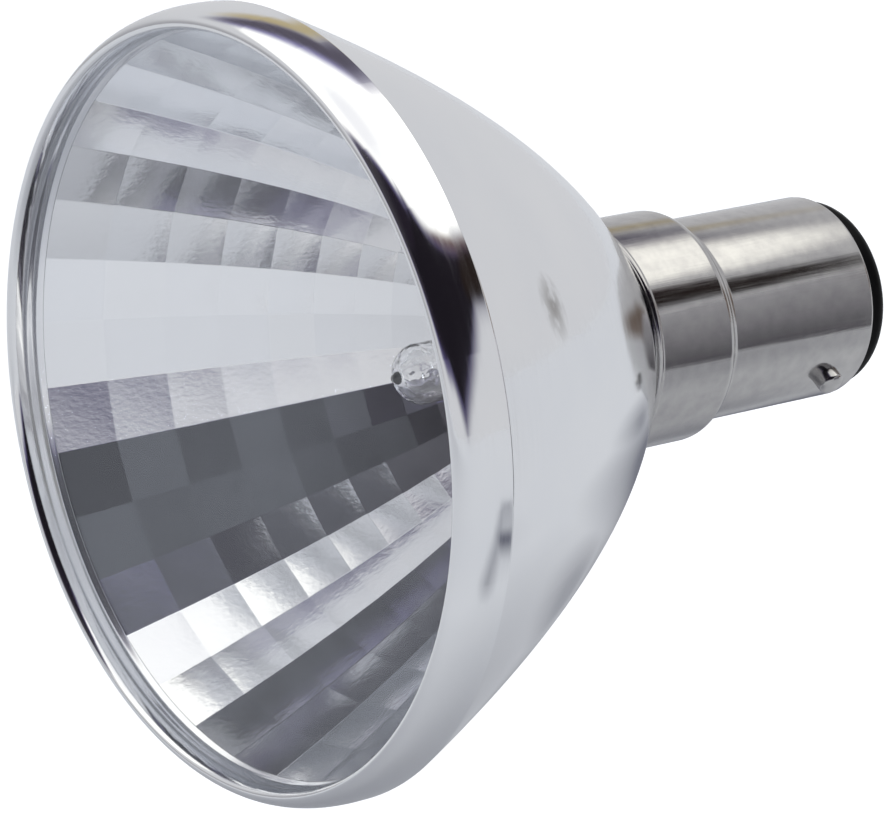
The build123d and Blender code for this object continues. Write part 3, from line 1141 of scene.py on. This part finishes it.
def fade(value, full, none):
    """Share that eases from one to zero while the value goes from full to none."""
    ends = {"Value": value, "From Min": full, "From Max": none, "To Min": 1.0, "To Max": 0.0}
    return add(sky, "MapRange", ends, interpolation_type="SMOOTHSTEP")


def patch(middle, half, soft, lean=0.0, power=2.0):
    """Share of a patch: the distance from its middle is (u to a power + v to it) to one over it,
    where u and v are the offsets in azimuth and elevation over the half sizes, and the patch fades
    out round a distance of one. A power of two is an oval, of one a diamond. Lean raises its middle
    along the azimuth. Angles in degrees."""
    middle, half = np.radians(middle).tolist(), np.radians(half).tolist()
    aside = math(sky, "SUBTRACT", azimuth, middle[0])
    above = math(sky, "SUBTRACT", elevation, middle[1])
    above = math(sky, "SUBTRACT", above, math(sky, "MULTIPLY", aside, lean))
    u = math(sky, "ABSOLUTE", math(sky, "DIVIDE", aside, half[0]))
    v = math(sky, "ABSOLUTE", math(sky, "DIVIDE", above, half[1]))
    distance = math(sky, "ADD", math(sky, "POWER", u, power), math(sky, "POWER", v, power))
    return fade(math(sky, "POWER", distance, 1 / power), 1 - soft, 1 + soft)


def over(below, share, colour):
    """Colour laid over what is below, where the share is one."""
    return blend(sky, share, below, colour)


print("helpers for the sky:", [helper.__name__ for helper in (fade, patch, over)])

# %% The room and its ceiling
pale_room = (0.66, 0.665, 0.685)
grey_corner = patch((-45, 2), (52, 20), 0.5)
ceiling_full, ceiling_edge = np.radians((47, 41)).tolist()
overhead_full, overhead_edge = np.radians((84, 70)).tolist()
behind_full, behind_edge = 0.6, 0.3
ceiling = fade(elevation, ceiling_full, ceiling_edge)
behind = fade(ray_y, behind_full, behind_edge)
studio = over(pale_room, grey_corner, (0.4, 0.4, 0.42))
studio = over(studio, ceiling, (1.25, 1.25, 1.21))
studio = over(studio, math(sky, "MULTIPLY", ceiling, behind), (1.7, 1.69, 1.6))
studio = over(studio, fade(elevation, overhead_full, overhead_edge), (1.0, 1.0, 1.02))
print("nodes for the room and its ceiling:", len(sky.nodes))

# %% The rail on the far side, and painted shade by the collar
far_side = {
    # Middle and half size in degrees, softness, lean and colour.
    "yellow strip": ((-126, 31), (15, 5), 0.6, 0.0, (0.5, 0.42, 0.25)),
    "edge of the rail": ((-124, 45), (32, 9), 0.4, -0.15, (0.3, 0.28, 0.5)),
    "rail": ((-126, 42), (32, 7), 0.5, -0.15, (0.1, 0.09, 0.12)),
    "brown beam": ((124, 43), (24, 6), 0.3, -0.35, (0.17, 0.1, 0.07)),
    # Painted shade: a brown patch that darkens what the cap and the bowl's wall mirror next to the collar.
    "painted shade by the collar": ((157, 13), (14, 11), 0.5, 0.0, (0.2, 0.15, 0.12)),
}
for middle, half, soft, lean, colour in far_side.values():
    studio = over(studio, patch(middle, half, soft, lean), colour)
print("on the far side:", ", ".join(far_side))

# %% The dark opening on the viewer's side
round_power, pointed_power = 2.0, 0.9
# The gloom deepens from its edge until it is full, at azimuths in radians.
gloom_full, gloom_edge = 0.75, -0.1
gloom = over((0.06, 0.055, 0.065), fade(azimuth, gloom_full, gloom_edge), (0.018, 0.014, 0.022))
viewers_side = {
    # Middle and half size in degrees, softness, power and colour.
    "edge of the opening": ((44, 42), (57, 30), 0.12, round_power, (0.1, 0.085, 0.19)),
    "edge of the corner": ((84, 35), (67, 34), 0.16, pointed_power, (0.08, 0.07, 0.14)),
    "opening": ((42, 42), (51, 25), 0.12, round_power, gloom),
    "corner": ((84, 35), (64, 27), 0.06, pointed_power, (0.012, 0.01, 0.014)),
    "dark post": ((140, 33), (14, 6), 0.3, round_power, (0.02, 0.014, 0.012)),
}
for middle, half, soft, power, colour in viewers_side.values():
    studio = over(studio, patch(middle, half, soft, power=power), colour)
print("on the viewer's side:", ", ".join(viewers_side))

# %% What the camera sees of the sky
seen_directly = add(sky, "LightPath", {}, "Is Camera Ray")
connect(sky, sky.nodes["Background"], {"Color": over(studio, seen_directly, (1, 1, 1))})
print("nodes of the whole sky:", len(sky.nodes))

# %% [markdown]
# The floor.
# It is a plain pale sheet a little below the bulb, which its holder keeps in the air, and it takes
# the bulb's shadow. A faint glow keeps it white to the eye, and a weaker one keeps it as pale as
# the room in the bulb's mirrors. In those mirrors the bulb's shadow on the table is painted shade,
# as dark spots and one bar. Blocks could stand there, but they would have to be hidden from the
# camera, so the painted shadow is mixed into the floor's own colour for mirror rays alone.

# %% The floor's sheet
floor_gap = 15 * mm
floor_half = 3.0
floor_z = cad_low.z - floor_gap


def studio_sheet(name, corners):
    """One flat sheet of the studio with its own material and node tree."""
    mesh = bpy.data.meshes.new(name)
    mesh.from_pydata(corners, [], [(0, 1, 2, 3)])
    sheet = bpy.data.objects.new(name, mesh)
    bpy.context.scene.collection.objects.link(sheet)
    paint, tree = finish(name + "_paint")
    mesh.materials.append(paint)
    return sheet, paint, tree


square = ((-1, -1), (1, -1), (1, 1), (-1, 1))
floor_corners = [(x * floor_half, y * floor_half, floor_z) for x, y in square]
floor_paint, tree = studio_sheet("floor", floor_corners)[1:]
print("the floor lies", round(-floor_z / mm, 1), "mm below the axis")

# %% The painted shadow bar on the floor


def bar(tree, start, end, half, soft):
    """Share of a bar on the floor, by the distance from the line between its two ends."""
    run = np.subtract(end, start)
    offset = vector(tree, "SUBTRACT", place(tree), (*start, floor_z))
    per_length = (*(run / np.sum(run**2)).tolist(), 0)
    along = between(tree, vector(tree, "DOT_PRODUCT", offset, per_length, "Value"), 0.0, 1.0, 0, 1)
    nearest = add(tree, "VectorMath", {0: (*run.tolist(), 0), "Scale": along}, operation="SCALE")
    distance = vector(tree, "LENGTH", vector(tree, "SUBTRACT", offset, nearest), output="Value")
    return between(tree, distance, 1.0, 0.0, half * (1 - soft), half * (1 + soft))


# Painted shadow: a dark bar on the floor, seen only in the bulb's mirrors.
bar_start, bar_end = (72 * mm, -21 * mm), (136 * mm, 37 * mm)
bar_half, bar_softness, bar_darkness = 7 * mm, 0.9, 0.55
shade = math(tree, "MULTIPLY", bar(tree, bar_start, bar_end, bar_half, bar_softness), bar_darkness)
print("the bar is", round(np.hypot(*np.subtract(bar_end, bar_start)) / mm), "mm long")

# %% The painted shadow spots on the floor
# Painted shadow of the bulb on the table, seen only in its mirrors.
floor_shadow_spots = [
    # Middle and half size in mm, softness and darkness.
    ((-18, 20), (18, 16), 0.7, 0.62),
    ((-60, 62), (40, 28), 0.7, 0.9),
    ((-44, 26), (22, 24), 0.8, 0.55),
    ((-42, 0), (28, 20), 0.8, 0.7),
    ((-80, -10), (45, 45), 0.5, 0.8),
    ((-12, -38), (40, 50), 0.9, 0.5),
    ((-46, 98), (20, 22), 0.8, 0.7),
    ((72, 48), (32, 28), 0.6, 0.35),
    ((150, -600), (450, 400), 0.4, 0.22),
    ((93, 7), (13, 9), 0.8, 1.0),
]
for middle, half, soft, darkness in floor_shadow_spots:
    spot_middle = (*np.multiply(middle, mm).tolist(), floor_z)
    spot_half = (*np.multiply(half, mm).tolist(), 1)
    spot = oval(tree, spot_middle, spot_half, 1 - soft, 1 + soft)
    shade = math(tree, "MAXIMUM", shade, math(tree, "MULTIPLY", spot, darkness))
print(len(floor_shadow_spots), "spots lie on the floor")

# %% The floor's paint
floor_glow = 0.6
mirror_glow = 0.155
rays = {name: add(tree, "LightPath", {}, f"Is {name} Ray") for name in ("Camera", "Transmission", "Glossy")}
direct = math(tree, "MAXIMUM", rays["Camera"], rays["Transmission"])
direct = math(tree, "MULTIPLY", direct, floor_glow)
# Under the painted shadow the mirrored glow fades and the floor's colour darkens, for mirror rays alone.
mirrored = math(tree, "MULTIPLY", rays["Glossy"], between(tree, shade, mirror_glow, 0.0, 0, 1))
shaded = math(tree, "MULTIPLY", rays["Glossy"], shade)
wire_up(floor_paint, {
    "Base Color": blend(tree, shaded, (0.7, 0.715, 0.745), (0.17, 0.175, 0.22)),
    "Roughness": 0.9,
    "Specular IOR Level": 0.0,
    "Emission Color": (0.98, 0.99, 1, 1),
    "Emission Strength": math(tree, "ADD", direct, mirrored),
})

# %% [markdown]
# The grey card.
# A round nickel shell shows the room as lines along it, and in an even room it would look like
# plastic. A card beside the cap, white at its top and darkened towards its foot by painted shade,
# gives it something to show.
# The world could hold it too, but it has to be near, so that the cap mirrors it and the bowl
# hardly does. It is hidden from the camera and throws no shadow.

# %% The card beside the cap
card_distance = 62 * mm
card_front = 31 * mm
card_back = 15 * mm
card_low = -24 * mm
card_top = 30 * mm
card_heading = np.radians(127)
towards = np.array([np.sin(card_heading), -np.cos(card_heading), 0])
beside = np.array([-towards[1], towards[0], 0])
card_edges = ((-card_front, card_low), (card_back, card_low), (card_back, card_top), (-card_front, card_top))
card_corners = [(card_distance * towards + side * beside + (0, 0, z)).tolist() for side, z in card_edges]
card, card_paint, tree = studio_sheet("grey_card", card_corners)
card.visible_camera = False
card.visible_diffuse = False
card.visible_shadow = False
# Painted shade: the card darkens from its top down to its foot.
height = add(tree, "SeparateXYZ", {"Vector": place(tree)}, "Z")
height = between(tree, height, 0, 1, card_low, card_top)
wire_up(card_paint, {
    "Base Color": blend(tree, height, (0.2, 0.19, 0.21), (0.95, 0.94, 0.96)),
    "Roughness": 0.9,
    "Specular IOR Level": 0.0,
})

# %% [markdown]
# The side light.
# The haze on the facets only shows when light falls on it. The sky lights the bowl's bottom more
# than its sides, so a low, soft light from the right reaches the far inner wall. An area lamp would
# do, but a sun keeps the same strength all over the wall. It is left out of the mirrors, where it
# would add a round spot that the real bulb does not show.

# %% The side light
side_heading, side_height = np.radians((58, 2.5))
side_light = bpy.data.lights.new("side_light", "SUN")
side_light.energy = 4.6
side_light.angle = np.radians(24)
side_light.color = (0.82, 0.9, 1.0)
side_lamp = bpy.data.objects.new("side_light", side_light)
side_lamp.rotation_euler = (np.pi / 2 - side_height, 0, side_heading)
side_lamp.visible_glossy = False
bpy.context.scene.collection.objects.link(side_lamp)
print("the side light stands at", round(np.degrees(side_height), 1), "degrees above the horizon")

# %% [markdown]
# The sizes.
# The surfaces made here should fill the same box as the imported solids.
